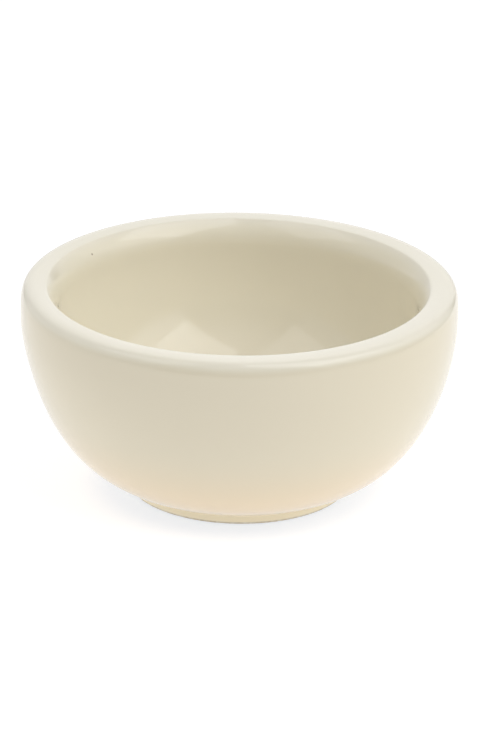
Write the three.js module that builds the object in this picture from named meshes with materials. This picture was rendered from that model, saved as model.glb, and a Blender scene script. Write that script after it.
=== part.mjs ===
// A small round nut bowl of glazed pottery, 114 mm across and 55.4 mm high.
// It is one thrown clay body on a low foot ring. A glossy cream glaze coats it inside and out,
// down to a wiped line just above the table, and a second glaze fills the hollow under the foot.
// Millimetres, Z up. The origin is on the table, in the middle of the foot ring.
import * as THREE from 'three';

// Outside, measured on the glaze
const bellyRadius = 57;          // widest place, a little below the lip
const bellyHeight = 46.9;        // of that widest place above the table
const bowlHeight = 55.4;         // top of the lip above the table
const wallRiseAngle = 17.5;      // degrees from level where the wall leaves the foot
const lowerWallFullness = 0.79;  // how far the low wall runs out before it turns up
const upperWallFullness = 0.19;  // how long the high wall stays upright

// Lip, measured on the glaze
const lipShoulderWidth = 4;      // from the belly in to the level top
const lipUprightness = 0.8;      // how far the side of the lip goes up before it turns in
const lipSquareness = 0.98;      // how far the level of the top reaches out before it turns down
const lipTopWidth = 2.6;         // level top
const lipEdgeRound = 1;          // radius of its inner edge
const lipSlopeAngle = 45;        // degrees from upright where that edge gives way to the slope
const lipSlopeFullness = 0.38;   // how long the slope keeps that angle

// Inside, measured on the glaze
const wallThickness = 10.2;      // from the belly in to the inside wall
const insideTopDrop = 6.9;       // from the top of the lip down to where the inside is upright
const floorThickness = 5.6;      // in the middle, between the well and the hollow of the foot
const insideFullness = 0.26;     // how long the inside wall stays upright
const wellFullness = 1;          // how far the flat of the well spreads

// Foot ring, measured on the glaze
const footRadius = 29.6;         // outer side of the ring
const footDraft = 0.3;           // the ring's side leans out this much towards the wall
const footHeight = 3.45;         // where the curve of the wall begins
const footCoveWidth = 1.7;       // hollow curve between the ring's side and the wall
const footCoveDrop = 1.4;
const standingFaceWidth = 3.6;   // flat bare face that meets the table
const bareEdgeRound = 0.3;       // both edges of that face
const hollowDepth = 2.4;         // from the table up to the glaze under the bowl
const hollowDraft = 0.9;         // the ring's inner side leans in this much
const hollowCove = 1.2;          // round between that side and the underside

// Glaze
const glazeThickness = 0.4;
const glazeStopHeight = 0.8;     // wiped edge of the glaze above the table
const glazeBead = 0.2;           // how far that edge rounds down

// Fineness of the curves
const stepsAround = 64;
const wallSteps = 8;
const shoulderSteps = 7;
const edgeSteps = 2;
const slopeSteps = 3;
const insideSteps = 9;
const coveSteps = 2;

const point = (radius, height) => new THREE.Vector2(radius, height);

// Points along a curve, each with the direction that faces out of the clay.
function trace(curve, steps) {
  const samples = [];
  for (let step = 0; step <= steps; step += 1) {
    const tangent = curve.getTangent(step / steps);
    samples.push({ at: curve.getPoint(step / steps), out: point(tangent.y, -tangent.x) });
  }
  return samples;
}

// One run of samples from several curves that follow on from each other.
function join(...runs) {
  return runs.flatMap((run, index) => (index === 0 ? run : run.slice(1)));
}

// The ring's glazed side and the small cove above it, up to the start of the wall.
function traceFoot() {
  const stop = point(footRadius, glazeStopHeight);
  const sideTop = point(footRadius + footDraft, footHeight - footCoveDrop);
  const wallStart = point(footRadius + footCoveWidth, footHeight);
  const lean = (wallStart.x - sideTop.x) * Math.tan(THREE.MathUtils.degToRad(wallRiseAngle));
  const corner = point(sideTop.x, wallStart.y - lean);
  return join(
    trace(new THREE.LineCurve(stop, sideTop), 1),
    trace(new THREE.QuadraticBezierCurve(sideTop, corner, wallStart), coveSteps),
  );
}

// The swelling outside wall, from the foot up to the belly.
function traceWall() {
  const start = point(footRadius + footCoveWidth, footHeight);
  const belly = point(bellyRadius, bellyHeight);
  const reach = (belly.x - start.x) * lowerWallFullness;
  const rise = reach * Math.tan(THREE.MathUtils.degToRad(wallRiseAngle));
  const low = point(start.x + reach, start.y + rise);
  const high = point(belly.x, belly.y - (belly.y - start.y) * upperWallFullness);
  return trace(new THREE.CubicBezierCurve(start, low, high, belly), wallSteps);
}

// The lip: over a square shoulder to a level top, round a small inner edge, and down a slope
// that steepens into the inside wall.
function traceLip() {
  const belly = point(bellyRadius, bellyHeight);
  const topStart = point(bellyRadius - lipShoulderWidth, bowlHeight);
  const shoulder = new THREE.CubicBezierCurve(
    belly,
    point(belly.x, belly.y + (topStart.y - belly.y) * lipUprightness),
    point(topStart.x + lipShoulderWidth * lipSquareness, topStart.y),
    topStart,
  );
  const topEnd = point(topStart.x - lipTopWidth, bowlHeight);
  const turn = THREE.MathUtils.degToRad(90 - lipSlopeAngle);
  const reach = lipEdgeRound * Math.tan(turn / 2);
  const corner = point(topEnd.x - reach, bowlHeight);
  const slopeWay = point(-Math.cos(turn), -Math.sin(turn));
  const slopeStart = corner.clone().addScaledVector(slopeWay, reach);
  const mouth = point(bellyRadius - wallThickness, bowlHeight - insideTopDrop);
  const handle = slopeStart.distanceTo(mouth) * lipSlopeFullness;
  const slope = new THREE.CubicBezierCurve(
    slopeStart,
    slopeStart.clone().addScaledVector(slopeWay, handle),
    point(mouth.x, mouth.y + handle),
    mouth,
  );
  return join(
    trace(shoulder, shoulderSteps),
    trace(new THREE.LineCurve(topStart, topEnd), 1),
    trace(new THREE.QuadraticBezierCurve(topEnd, corner, slopeStart), edgeSteps),
    trace(slope, slopeSteps),
  );
}

// The inside, one sweep from below the lip to the middle of the well.
function traceInside() {
  const mouth = point(bellyRadius - wallThickness, bowlHeight - insideTopDrop);
  const well = point(0, hollowDepth + floorThickness);
  const upright = point(mouth.x, mouth.y - (mouth.y - well.y) * insideFullness);
  const flat = point(mouth.x * wellFullness, well.y);
  return trace(new THREE.CubicBezierCurve(mouth, upright, flat, well), insideSteps);
}

// The underside, from the middle out to the ring and down its inner side.
function traceHollow() {
  const ringInside = footRadius - glazeThickness - 2 * bareEdgeRound - standingFaceWidth;
  const stop = point(ringInside - glazeThickness, glazeStopHeight);
  const corner = point(stop.x - hollowDraft, hollowDepth);
  const flatEnd = point(corner.x - hollowCove, hollowDepth);
  return join(
    trace(new THREE.LineCurve(point(0, hollowDepth), flatEnd), 1),
    trace(new THREE.QuadraticBezierCurve(flatEnd, corner, stop), coveSteps),
  );
}

// The clay face under a glazed face.
function sinkInto(samples, depth) {
  return samples.map(({ at, out }) => at.clone().addScaledVector(out, -depth));
}

// The rounded edge where a glaze was wiped back, between its face and the clay.
function beadBetween(face, clay) {
  return point((face.x + clay.x) / 2, Math.min(face.y, clay.y) - glazeBead);
}

// A profile that starts and ends on the axis, turned once round it.
function turn(profile) {
  const geometry = new THREE.LatheGeometry(profile, stepsAround);
  geometry.rotateX(Math.PI / 2);
  return geometry;
}

const outside = join(traceFoot(), traceWall(), traceLip(), traceInside());
const underside = traceHollow();
const clayOutside = sinkInto(outside, glazeThickness);
const clayUnderside = sinkInto(underside, glazeThickness);

// Flat bare face on the table, with a small round at both of its edges.
function standingFace() {
  const inner = clayUnderside.at(-1).x;
  const outer = clayOutside[0].x;
  return [
    point(inner, bareEdgeRound),
    point(inner + bareEdgeRound, 0),
    point(outer - bareEdgeRound, 0),
    point(outer, bareEdgeRound),
  ];
}

function makeClayBody() {
  return turn([...clayUnderside, ...standingFace(), ...clayOutside]);
}

function makeGlazeCoat() {
  const face = outside.map((sample) => sample.at);
  const clay = [...clayOutside].reverse();
  return turn([...clay, beadBetween(face[0], clay.at(-1)), ...face]);
}

function makeBaseGlaze() {
  const face = underside.map((sample) => sample.at);
  const clay = [...clayUnderside].reverse();
  return turn([...face, beadBetween(face.at(-1), clay[0]), ...clay]);
}

function makeMesh(name, geometry, color, roughness) {
  const material = new THREE.MeshStandardMaterial({ color, roughness, metalness: 0 });
  const mesh = new THREE.Mesh(geometry, material);
  mesh.name = name;
  return mesh;
}

const bowl = new THREE.Group();
bowl.add(
  makeMesh('clay_body', makeClayBody(), 0xe4d5bd, 0.85),
  makeMesh('glaze_coat', makeGlazeCoat(), 0xe9e2d0, 0.12),
  makeMesh('base_glaze', makeBaseGlaze(), 0xe6dcc6, 0.18),
);

export default bowl;
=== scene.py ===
import math

import bmesh
import bpy
from mathutils import Matrix, Vector
from mathutils.geometry import interpolate_bezier


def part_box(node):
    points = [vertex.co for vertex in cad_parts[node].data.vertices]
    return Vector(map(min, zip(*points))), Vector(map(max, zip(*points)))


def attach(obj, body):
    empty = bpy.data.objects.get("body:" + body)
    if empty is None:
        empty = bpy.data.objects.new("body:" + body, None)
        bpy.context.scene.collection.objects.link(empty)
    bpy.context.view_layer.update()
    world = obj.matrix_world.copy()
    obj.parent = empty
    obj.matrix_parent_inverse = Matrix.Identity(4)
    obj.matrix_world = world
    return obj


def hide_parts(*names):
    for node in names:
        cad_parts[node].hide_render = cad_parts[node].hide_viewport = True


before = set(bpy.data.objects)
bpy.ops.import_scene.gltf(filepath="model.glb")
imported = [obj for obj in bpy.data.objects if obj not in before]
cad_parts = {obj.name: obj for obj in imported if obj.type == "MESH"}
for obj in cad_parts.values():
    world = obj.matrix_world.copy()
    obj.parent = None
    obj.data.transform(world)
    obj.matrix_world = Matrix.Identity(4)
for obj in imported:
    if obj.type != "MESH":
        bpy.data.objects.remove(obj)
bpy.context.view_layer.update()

# A small cream-glazed nut bowl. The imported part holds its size. This file gives it a finely
# turned surface, its two glazes and bare clay, and photographs it on a white table that gives
# off some light, in a bright room with two soft panels.

mm = 0.001
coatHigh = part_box("glaze_coat")[1]
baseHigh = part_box("base_glaze")[1]


# Shape of the bowl, measured on the glaze. The belly's radius, the height and the depth of the
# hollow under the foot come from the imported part.

bowlForm = {
    "bellyHeight": 46.9 * mm,
    "wallRise": math.radians(17.5),     # from level, where the wall leaves the foot
    "lowerFullness": 0.79,              # how far the low wall runs out before it turns up
    "upperFullness": 0.19,              # how long the high wall stays upright
    "lipShoulderWidth": 4 * mm,         # from the belly in to the level top
    "lipUprightness": 0.8,              # how far its side goes up before it turns in
    "lipSquareness": 0.98,              # how far the level top reaches out before it turns down
    "lipTopWidth": 2.6 * mm,
    "lipFall": 0.12 * mm,               # of the top towards its inner edge
    "lipEdgeRound": 1 * mm,             # that edge
    "lipSlope": math.radians(45),       # from upright, under that edge
    "lipSlopeFullness": 0.38,           # how long the slope keeps that angle
    "wallThickness": 10.2 * mm,
    "insideTopDrop": 6.9 * mm,          # from the top of the lip to where the inside is upright
    "insideFullness": 0.26,             # how long the inside wall stays upright
    "wellHeight": 8 * mm,
    "wellFullness": 1,                  # how far the flat of the well spreads
    "footRadius": 29.6 * mm,
    "footDraft": 0.3 * mm,              # its side leans out this much towards the wall
    "footHeight": 3.45 * mm,            # where the wall starts
    "footCove": (1.7 * mm, 1.4 * mm),   # out and down from the start of the wall
    "ringWidth": 3.6 * mm,              # the flat, bare face on the table
    "bareRound": 0.3 * mm,              # both edges of that face
    "bareRoundPull": (0.45, 0.55),      # shares of it up and along that its curve aims for
    "hollowDraft": 0.9 * mm,
    "hollowCove": 1.2 * mm,
    "glaze": 0.4 * mm,                  # its thickness
    "stopHeight": 0.8 * mm,             # wiped edge of the glaze
    "bead": 0.2 * mm,                   # how far that edge rounds down
    # fineness of the profile and of its turning
    "steps": {"side": 3, "cove": 10, "wall": 44, "shoulder": 30, "top": 8, "edge": 8,
              "slope": 20, "inside": 60, "hollow": 12},
    "roundPoints": 6,
    "beadPoints": 7,
    "turns": 256,
    "mergeDistance": 0.001 * mm,
}


def place(radius, height):
    return Vector((radius, 0, height))


def run(knots, steps):
    # a Bezier stretch as points, each with the direction out of the clay
    points = interpolate_bezier(*knots, steps + 1)
    tangents = [points[min(i + 1, steps)] - points[max(i - 1, 0)] for i in range(steps + 1)]
    tangents[0] = (knots[1] - knots[0]) if knots[1] != knots[0] else tangents[0]
    tangents[-1] = (knots[3] - knots[2]) if knots[3] != knots[2] else tangents[-1]
    return [(p, Vector((t.z, 0, -t.x)).normalized()) for p, t in zip(points, tangents)]


def straight(start, end, steps):
    third = (end - start) / 3
    return run((start, start + third, end - third, end), steps)


def cove(start, corner, end, steps):
    # a quadratic curve, written as the cubic that is the same
    return run((start, start.lerp(corner, 2 / 3), end.lerp(corner, 2 / 3), end), steps)


def follow(*runs):
    joined = list(runs[0])
    for later in runs[1:]:
        joined += later[1:]
    return joined


def glazedFace(form):
    # from the wiped edge on the foot, up the wall, over the lip and down to the well
    wallStart = place(form["footRadius"] + form["footCove"][0], form["footHeight"])
    stop = place(form["footRadius"], form["stopHeight"])
    sideTop = place(form["footRadius"] + form["footDraft"], form["footHeight"] - form["footCove"][1])
    slope = math.tan(form["wallRise"])
    corner = place(sideTop.x, wallStart.z - (wallStart.x - sideTop.x) * slope)
    belly = place(coatHigh.x, form["bellyHeight"])
    reach = (belly.x - wallStart.x) * form["lowerFullness"]
    low = wallStart + place(reach, reach * slope)
    high = belly - place(0, (belly.z - wallStart.z) * form["upperFullness"])
    topStart = place(belly.x - form["lipShoulderWidth"], coatHigh.z)
    shoulderUp = place(belly.x, belly.z + (topStart.z - belly.z) * form["lipUprightness"])
    shoulderOut = place(topStart.x + form["lipShoulderWidth"] * form["lipSquareness"], topStart.z)
    topEnd = topStart - place(form["lipTopWidth"], form["lipFall"])
    topMiddle = topStart - place(form["lipTopWidth"] / 2, 0)
    turn = math.pi / 2 - form["lipSlope"]
    bend = form["lipEdgeRound"] * math.tan(turn / 2)
    edge = topEnd + (topEnd - topMiddle).normalized() * bend
    slopeWay = place(-math.cos(turn), -math.sin(turn))
    slopeStart = edge + slopeWay * bend
    mouth = place(belly.x - form["wallThickness"], coatHigh.z - form["insideTopDrop"])
    reachIn = (slopeStart - mouth).length * form["lipSlopeFullness"]
    slopeDown = slopeStart + slopeWay * reachIn
    mouthUp = mouth + place(0, reachIn)
    well = place(0, form["wellHeight"])
    upright = place(mouth.x, mouth.z - (mouth.z - well.z) * form["insideFullness"])
    flat = place(mouth.x * form["wellFullness"], well.z)
    steps = form["steps"]
    return follow(
        straight(stop, sideTop, steps["side"]),
        cove(sideTop, corner, wallStart, steps["cove"]),
        run((wallStart, low, high, belly), steps["wall"]),
        run((belly, shoulderUp, shoulderOut, topStart), steps["shoulder"]),
        cove(topStart, topMiddle, topEnd, steps["top"]),
        cove(topEnd, edge, slopeStart, steps["edge"]),
        run((slopeStart, slopeDown, mouthUp, mouth), steps["slope"]),
        run((mouth, upright, flat, well), steps["inside"]),
    )


def hollowFace(form):
    # the underside, from the middle out to the ring and down its inner side
    ringInside = form["footRadius"] - form["glaze"] - 2 * form["bareRound"] - form["ringWidth"]
    stop = place(ringInside - form["glaze"], form["stopHeight"])
    corner = place(stop.x - form["hollowDraft"], baseHigh.z - form["glaze"])
    flatEnd = corner - place(form["hollowCove"], 0)
    steps = form["steps"]
    return follow(straight(place(0, corner.z), flatEnd, steps["hollow"]),
                  cove(flatEnd, corner, stop, steps["cove"]))


def standingFace(inner, outer, form):
    # the bare ring between two radii, with a round at both of its edges
    edge = form["bareRound"]
    up, along = (edge * share for share in form["bareRoundPull"])
    return (
        interpolate_bezier(place(inner, edge), place(inner, up),
                           place(inner + along, 0), place(inner + edge, 0), form["roundPoints"])
        + interpolate_bezier(place(outer - edge, 0), place(outer - along, 0),
                             place(outer, up), place(outer, edge), form["roundPoints"]))


def sunk(face, depth):
    return [point - outward * depth for point, outward in face]


def bead(fromPoint, toPoint, form):
    # the rounded edge where a glaze was wiped back; handles 4/3 as deep make it just that deep
    under = place(0, -form["bead"] * 4 / 3)
    curve = interpolate_bezier(
        fromPoint, fromPoint + under, toPoint + under, toPoint, form["beadPoints"])
    return curve[1:-1]


def turnOnWheel(name, profile, form):
    shape = bmesh.new()
    points = [shape.verts.new(p) for p in profile]
    line = [shape.edges.new(pair) for pair in zip(points, points[1:])]
    bmesh.ops.spin(shape, geom=points + line, cent=(0, 0, 0), axis=(0, 0, 1), dvec=(0, 0, 0),
                   angle=math.tau, steps=form["turns"], use_merge=True, use_duplicate=False)
    bmesh.ops.remove_doubles(shape, verts=shape.verts, dist=form["mergeDistance"])
    bmesh.ops.recalc_face_normals(shape, faces=shape.faces)
    for face in shape.faces:
        face.smooth = True
    mesh = bpy.data.meshes.new(name)
    shape.to_mesh(mesh)
    shape.free()
    piece = bpy.data.objects.new(name, mesh)
    bpy.context.scene.collection.objects.link(piece)
    return piece


def makePieces(form):
    face = glazedFace(form)
    hollow = hollowFace(form)
    outer = [point for point, _ in face]
    under = [point for point, _ in hollow]
    clay = sunk(face, form["glaze"])
    clayUnder = sunk(hollow, form["glaze"])
    standing = standingFace(clayUnder[-1].x, clay[0].x, form)
    coatBead = bead(clay[0], outer[0], form)
    hollowBead = bead(under[-1], clayUnder[-1], form)
    return (
        turnOnWheel("turned_clay", clayUnder + standing + clay, form),
        turnOnWheel("cream_coat", clay[::-1] + coatBead + outer, form),
        turnOnWheel("hollow_glaze", under + hollowBead + clayUnder[::-1], form),
    )


handThrown = {
    # the real bowl is not quite true: its foot and its opening lie a little off the lip's middle
    "footOff": 0.3 * mm,
    "footReach": (47 * mm, 28 * mm),    # heights: none of it above, all of it below
    "mouthOff": -0.32 * mm,
    "mouthReach": (34 * mm, 50 * mm),   # heights: none of it below, all of it above
    "mouthEdge": (54.5 * mm, 50.5 * mm),    # radii: none of it outside, all of it inside
}


def ease(value, low, high):
    share = min(max((value - low) / (high - low), 0), 1)
    return share * share * (3 - 2 * share)


def throwByHand(piece, hand):
    for vertex in piece.data.vertices:
        height = vertex.co.z
        radius = vertex.co.xy.length
        mouth = ease(height, *hand["mouthReach"]) * ease(radius, *hand["mouthEdge"])
        vertex.co.x += hand["footOff"] * ease(height, *hand["footReach"]) + hand["mouthOff"] * mouth


# Materials

class Wire:
    # one output of a node, so that shader maths reads as plain sums

    def __init__(self, shader, socket):
        self.shader = shader
        self.socket = socket

    def maths(self, operation, first, second):
        return self.shader.node("ShaderNodeMath", {"operation": operation}, {0: first, 1: second})

    def __add__(self, other):
        return self.maths("ADD", self, other)

    def __radd__(self, other):
        return self.maths("ADD", other, self)

    def __sub__(self, other):
        return self.maths("SUBTRACT", self, other)

    def __rsub__(self, other):
        return self.maths("SUBTRACT", other, self)

    def __mul__(self, other):
        return self.maths("MULTIPLY", self, other)

    def __rmul__(self, other):
        return self.maths("MULTIPLY", other, self)

    def __truediv__(self, other):
        return self.maths("DIVIDE", self, other)

    def __rtruediv__(self, other):
        return self.maths("DIVIDE", other, self)


class Graph:
    def __init__(self, tree):
        self.tree = tree

    def node(self, kind, settings, values, output=0):
        made = self.tree.nodes.new(kind)
        for setting, value in settings.items():
            if setting == "stops":
                self.setStops(made.color_ramp, value)
            else:
                setattr(made, setting, value)
        for socket, value in values.items():
            self.feed(made.inputs[socket], value)
        return None if output is None else Wire(self, made.outputs[output])

    def setStops(self, ramp, stops):
        while len(ramp.elements) < len(stops):
            ramp.elements.new(1)
        for element, (position, colour) in zip(ramp.elements, stops):
            element.position = position
            element.color = colour

    def feed(self, socket, value):
        if isinstance(value, Wire):
            self.tree.links.new(value.socket, socket)
        else:
            socket.default_value = value

    def axis(self, vector, letter):
        return self.node("ShaderNodeSeparateXYZ", {}, {"Vector": vector}, letter)

    def measure(self, operation, *vectors):
        # a length or a distance
        return self.node("ShaderNodeVectorMath", {"operation": operation},
                         dict(enumerate(vectors)), "Value")

    def spread(self, value, fromLow, fromHigh, curve="SMOOTHSTEP"):
        # 0 at the first limit and before it, 1 at the second and past it
        return self.node("ShaderNodeMapRange", {"interpolation_type": curve},
                         {"Value": value, "From Min": fromLow, "From Max": fromHigh})

    def blend(self, share, first, second):
        # sockets 6 and 7 and output 2 are the ones for colours
        return self.node("ShaderNodeMix", {"data_type": "RGBA"}, {0: share, 6: first, 7: second}, 2)


class Shader(Graph):
    def __init__(self, name):
        self.material = bpy.data.materials.new(name)
        self.material.use_nodes = True
        super().__init__(self.material.node_tree)
        self.surface = self.tree.nodes["Principled BSDF"]
        self.here = self.node("ShaderNodeTexCoord", {}, {}, "Object")

    def set(self, **values):
        # sockets of the surface by name, with _ for a space
        for name, value in values.items():
            self.feed(self.surface.inputs[name.replace("_", " ")], value)

    def noise(self, scale, detail, roughness=0.5):
        return self.node(
            "ShaderNodeTexNoise", {"noise_dimensions": "3D"},
            {"Vector": self.here, "Scale": scale, "Detail": detail, "Roughness": roughness})

    def bump(self, height, distance):
        return self.node("ShaderNodeBump", {}, {"Height": height, "Distance": distance})


creamGlaze = {
    "lighterTone": (0.85, 0.815, 0.72, 1),     # lighter and whiter over the top of the lip: painted light where the top faces up
    "paintedLipLightHeights": (52.5 * mm, 56 * mm),
    "paintedLipLightShare": 0.7,
    "paintedLipLightWander": 3 * mm,               # up and down with the clouds
    "inside": (0.795, 0.745, 0.60, 1),
    "well": (0.86, 0.79, 0.67, 1),      # low inside
    "outside": (0.765, 0.697, 0.54, 1),
    "lowOutside": (0.80, 0.64, 0.435, 1),   # warmer and darker low on the outside
    "lowHeights": (30 * mm, 4 * mm),
    "lowShare": 0.85,
    # warmer where the glaze thins over the clay at the foot, and lighter as painted light from the
    # glowing table
    "foot": (1, 0.87, 0.62, 1),
    "footHeights": (4.5 * mm, 2.5 * mm),
    # inside gives way to outside where the radius, less the flare times the height, passes the
    # border; below the well the border lies further in, so that the foot is outside
    "border": (29 * mm, 31 * mm),
    "borderFlare": 0.5,
    "borderShift": 4 * mm,
    "borderShiftHeights": (7 * mm, 5 * mm),
    "clouds": (18, 2),                  # noise scale and detail
    "cloudDulling": 0.03,               # how much the roughness changes with the clouds
    "roughness": 0.06,
    "roll": (60, 1),                    # noise scale and detail
    "rollDepth": 0.05 * mm,
    "iron": (0.20, 0.12, 0.07, 1),      # one small speck
    "speck": (-39.2 * mm, 27.6 * mm, 52.8 * mm),
    "speckReach": (0.5 * mm, 0.2 * mm),
    "speckShare": 0.8,
}


def makeCreamGlaze(look):
    paint = Shader("cream_glaze")
    height = paint.axis(paint.here, "Z")
    across = paint.node(
        "ShaderNodeVectorMath", {"operation": "MULTIPLY"}, {0: paint.here, 1: (1, 1, 0)})
    radius = paint.measure("LENGTH", across)
    clouds = paint.noise(*look["clouds"]) - 0.5
    low = paint.spread(height, *look["lowHeights"]) * look["lowShare"]
    insideColour = paint.blend(low, look["inside"], look["well"])
    outsideColour = paint.blend(low, look["outside"], look["lowOutside"])
    # the foot is made warmer for the thin glaze over clay, and lighter as painted light from the
    # table
    foot = paint.spread(height, *look["footHeights"])
    outsideColour = paint.blend(foot, outsideColour, look["foot"])
    shift = paint.spread(height, *look["borderShiftHeights"]) * look["borderShift"]
    outward = radius - height * look["borderFlare"] + shift
    colour = paint.blend(paint.spread(outward, *look["border"]), insideColour, outsideColour)
    # painted light: the top of the lip is made lighter, its lower edge wandering with the clouds
    lip = paint.spread(height + clouds * look["paintedLipLightWander"], *look["paintedLipLightHeights"])
    colour = paint.blend(lip * look["paintedLipLightShare"], colour, look["lighterTone"])
    away = paint.measure("DISTANCE", paint.here, look["speck"])
    speck = paint.spread(away, *look["speckReach"]) * look["speckShare"]
    colour = paint.blend(speck, colour, look["iron"])
    paint.set(Base_Color=colour, Roughness=look["roughness"] + clouds * look["cloudDulling"],
              Normal=paint.bump(paint.noise(*look["roll"]), look["rollDepth"]))
    return paint.material


bareClay = {
    "light": (0.82, 0.74, 0.60, 1),
    "dark": (0.66, 0.55, 0.40, 1),
    "grain": (900, 4, 0.6),             # noise scale, detail and roughness
    "grainContrast": (0.35, 0.65),      # all dark at the first, all light at the second
    "grainDepth": 0.04 * mm,
    "roughness": 0.85,
}


def makeBareClay(look):
    paint = Shader("bare_clay")
    grain = paint.noise(*look["grain"])
    colour = paint.blend(paint.spread(grain, *look["grainContrast"]), look["dark"], look["light"])
    paint.set(Base_Color=colour, Roughness=look["roughness"],
              Normal=paint.bump(grain, look["grainDepth"]))
    return paint.material


undersideGlaze = {
    "body": (0.78, 0.72, 0.58, 1),
    "lighterTone": (0.80, 0.73, 0.60, 1),
    "clouds": (70, 3),                  # noise scale and detail
    "cloudContrast": (0.3, 0.7),
    "roughness": 0.12,
    "roll": (140, 2),                   # noise scale and detail
    "rollDepth": 0.06 * mm,
}


def makeUndersideGlaze(look):
    paint = Shader("underside_glaze")
    clouds = paint.noise(*look["clouds"])
    colour = paint.blend(paint.spread(clouds, *look["cloudContrast"]), look["body"], look["lighterTone"])
    paint.set(Base_Color=colour, Roughness=look["roughness"],
              Normal=paint.bump(paint.noise(*look["roll"]), look["rollDepth"]))
    return paint.material


# The table, the room, the panels and the camera

whiteTable = {
    "sides": (-0.42, 0.42),             # x
    "ends": (-0.36, 0.80),              # y, front and back
    "colour": (0.49, 0.49, 0.49, 1),
    "roughness": 0.9,
    "glow": (0.68, 0.68, 0.69, 1),      # it is lit from below too
    # a lower, bluer glow near the bowl: a painted contact shadow, with its blue cancelling the
    # bowl's warm bounce
    "paintedShadowGlow": (0.53, 0.573, 0.64, 1),
    "paintedShadowReach": (32 * mm, 45 * mm),    # from the bowl's axis, where the painted contact shadow gives way to the even glow
}


def makeTable(look):
    left, right = look["sides"]
    front, back = look["ends"]
    corners = ((left, front, 0), (right, front, 0), (right, back, 0), (left, back, 0))
    shape = bmesh.new()
    shape.faces.new([shape.verts.new(corner) for corner in corners])
    mesh = bpy.data.meshes.new("table")
    shape.to_mesh(mesh)
    shape.free()
    table = bpy.data.objects.new("table", mesh)
    bpy.context.scene.collection.objects.link(table)
    paint = Shader("white_table")
    away = paint.measure("LENGTH", paint.here)
    # the glow drops near the bowl's axis: a contact shadow painted into the table's emission
    glow = paint.blend(paint.spread(away, *look["paintedShadowReach"]), look["paintedShadowGlow"], look["glow"])
    paint.set(Base_Color=look["colour"], Roughness=look["roughness"], Specular_IOR_Level=0,
              Emission_Color=glow, Emission_Strength=1)
    mesh.materials.append(paint.material)


brightRoom = {
    # at each height in degrees, how bright it is by direction, in degrees to the right of the
    # camera: dark round the camera, and white behind the bowl, where a dark strip to the right
    # and a faint one to the left set the wall apart
    "rings": {
        -10: ((-180, 0.05), (-135, 0.6), (-90, 0.55), (-45, 0.05), (135, 0), (180, 0.05)),
        5: ((-180, 1.2), (-160, 1.1), (-154, 0.6), (-147, 0.6), (-141, 1.05), (-90, 1.05),
            (-46, 0.35), (-40, 0), (0, 0.1), (40, 0.05), (46, 0.25), (90, 0.25), (140, 0.6),
            (144, 0), (150, 0), (155, 0.9), (180, 1.2)),
        25: ((-180, 1.05), (-141, 0.5), (-90, 1), (-46, 0.7), (-40, 0.2), (36, 0.3), (42, 1.85),
             (90, 1.7), (138, 0.5), (142, 0.4), (150, 0.45), (155, 0.85), (180, 1.05)),
        45: ((-180, 1.3), (-135, 0.8), (-90, 0.75), (-45, 0.2), (0, 0.7), (30, 0.7),
             (40, 1.15), (90, 0.75), (135, 0.7), (180, 1.3)),
        65: ((-180, 0.7), (-135, 0.4), (-90, 0), (-30, 0), (-15, 0.3), (15, 0.3), (30, 0),
             (90, 0), (135, 0.3), (180, 0.7)),
    },
    "zenith": 0,
    "peak": 2,                          # what a full white stop stands for
    "seen": 1.05,                       # what the camera sees of it
}


def grey(value):
    return (value, value, value, 1)


def makeRoom(look):
    world = bpy.data.worlds.new("studio_sky")
    world.use_nodes = True
    sky = Graph(world.node_tree)
    sky.tree.nodes.clear()
    way = sky.node("ShaderNodeTexCoord", {}, {}, "Generated")
    turn = sky.node("ShaderNodeMath", {"operation": "ARCTAN2"},
                    {0: sky.axis(way, "X"), 1: 0 - sky.axis(way, "Y")})
    rise = sky.node("ShaderNodeMath", {"operation": "ARCSINE"}, {0: sky.axis(way, "Z")})
    glow = None
    lastHeight = None
    for degrees, ring in look["rings"].items():
        stops = [(turned / 360 + 0.5, grey(value / look["peak"])) for turned, value in ring]
        here = sky.node("ShaderNodeValToRGB", {"stops": stops}, {"Fac": turn / math.tau + 0.5})
        if glow is None:
            glow = here
        else:
            share = sky.spread(rise, math.radians(lastHeight), math.radians(degrees), "LINEAR")
            glow = sky.blend(share, glow, here)
        lastHeight = degrees
    share = sky.spread(rise, math.radians(lastHeight), math.pi / 2, "LINEAR")
    glow = sky.blend(share, glow, grey(look["zenith"] / look["peak"]))
    lit = sky.node("ShaderNodeBackground", {}, {"Color": glow, "Strength": look["peak"]})
    seen = sky.node("ShaderNodeBackground", {}, {"Color": grey(1), "Strength": look["seen"]})
    byCamera = sky.node("ShaderNodeLightPath", {}, {}, "Is Camera Ray")
    both = sky.node("ShaderNodeMixShader", {}, {0: byCamera, 1: lit, 2: seen})
    sky.node("ShaderNodeOutputWorld", {}, {"Surface": both}, None)
    bpy.context.scene.world = world


softPanels = {
    # the lower and the upper edge as (x, z), the ends as (front y, back y), the power in watts
    "right_panel": {
        "lower": (0.60, 0.475),
        "upper": (0.04, 1.42),
        "ends": (-0.77, 0.035),
        "power": 5.1,
    },
    "left_panel": {
        "lower": (-0.60, 0.50),
        "upper": (-0.30, 1.46),
        "ends": (-0.72, 0),
        "power": 2.6,
    },
}


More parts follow.
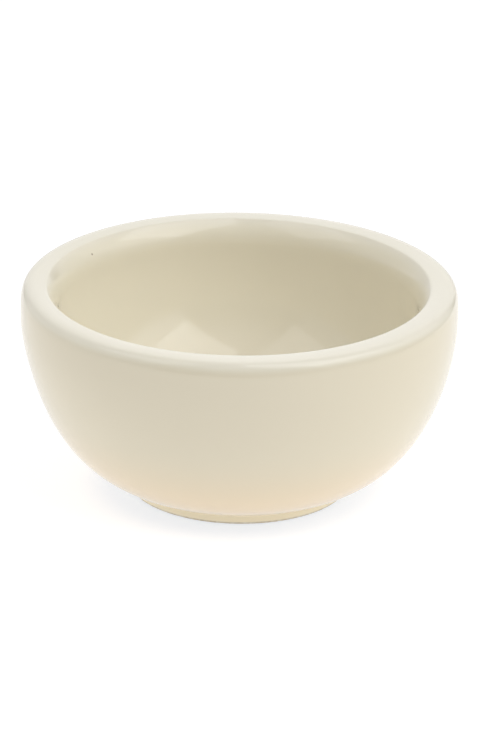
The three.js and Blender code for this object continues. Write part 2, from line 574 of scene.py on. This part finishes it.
def makePanel(name, look):
    lower = look["lower"]
    upper = look["upper"]
    ends = look["ends"]
    slope = Vector((upper[0] - lower[0], 0, upper[1] - lower[1]))
    light = bpy.data.lights.new(name, "AREA")
    light.shape = "RECTANGLE"
    light.size = ends[1] - ends[0]
    light.size_y = slope.length
    light.energy = look["power"]
    panel = bpy.data.objects.new(name, light)
    along = Vector((0, 1, 0))
    up = slope.normalized()
    facing = along.cross(up)
    if facing.x * lower[0] < 0:         # its Z has to point outwards, because it shines along -Z
        along = -along
        facing = -facing
    middle = Vector(((lower[0] + upper[0]) / 2, (ends[0] + ends[1]) / 2, (lower[1] + upper[1]) / 2))
    turned = Matrix((along, up, facing)).transposed().to_4x4()
    panel.matrix_world = Matrix.Translation(middle) @ turned
    bpy.context.scene.collection.objects.link(panel)


cameraView = {
    # the photograph's view, in its frame of 480 by 736 pixels
    "elevation": 0.3849,
    "roll": 0.012,
    "distance": 1.1332,
    "target": (0, 0, 28.33 * mm),
    "targetPixel": (238.68, 380.05),
    "pixelsPerRadian": 4325.4,
    "frame": (480, 736),
    "sensor": 36,
    "clip": (0.05, 50),
}


def makeCamera(look):
    lens = bpy.data.cameras.new("view")
    lens.sensor_width = look["sensor"]
    lens.lens = look["pixelsPerRadian"] / max(look["frame"]) * look["sensor"]
    lens.clip_start, lens.clip_end = look["clip"]
    camera = bpy.data.objects.new("view", lens)
    rise = look["elevation"]
    back = Vector((0, -math.cos(rise), math.sin(rise)))
    camera.location = Vector(look["target"]) + back * look["distance"]
    right, down = [(pixel - size / 2) / look["pixelsPerRadian"]
                   for pixel, size in zip(look["targetPixel"], look["frame"])]
    turned = (Matrix.Rotation(look["roll"], 4, "Z")
              @ Matrix.Rotation(-right, 4, "Y").inverted()
              @ Matrix.Rotation(down, 4, "X"))
    aim = back.to_track_quat("Z", "Y").to_matrix().to_4x4()
    camera.matrix_world = Matrix.Translation(camera.location) @ aim @ turned
    bpy.context.scene.collection.objects.link(camera)
    bpy.context.scene.camera = camera
    bpy.context.scene.view_settings.view_transform = "Standard"


makeCamera(cameraView)
makeTable(whiteTable)
makeRoom(brightRoom)
for panelName, panelLook in softPanels.items():
    makePanel(panelName, panelLook)
print("studio ready")

turnedClay, creamCoat, hollowGlaze = makePieces(bowlForm)
for piece, node, slotName, material in (
    (turnedClay, "clay_body", "bare_clay", makeBareClay(bareClay)),
    (creamCoat, "glaze_coat", "cream_glaze", makeCreamGlaze(creamGlaze)),
    (hollowGlaze, "base_glaze", "underside_glaze", makeUndersideGlaze(undersideGlaze)),
):
    throwByHand(piece, handThrown)
    piece.data.materials.append(material)
    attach(piece, "root")
    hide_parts(node)
    print("made", piece.name)
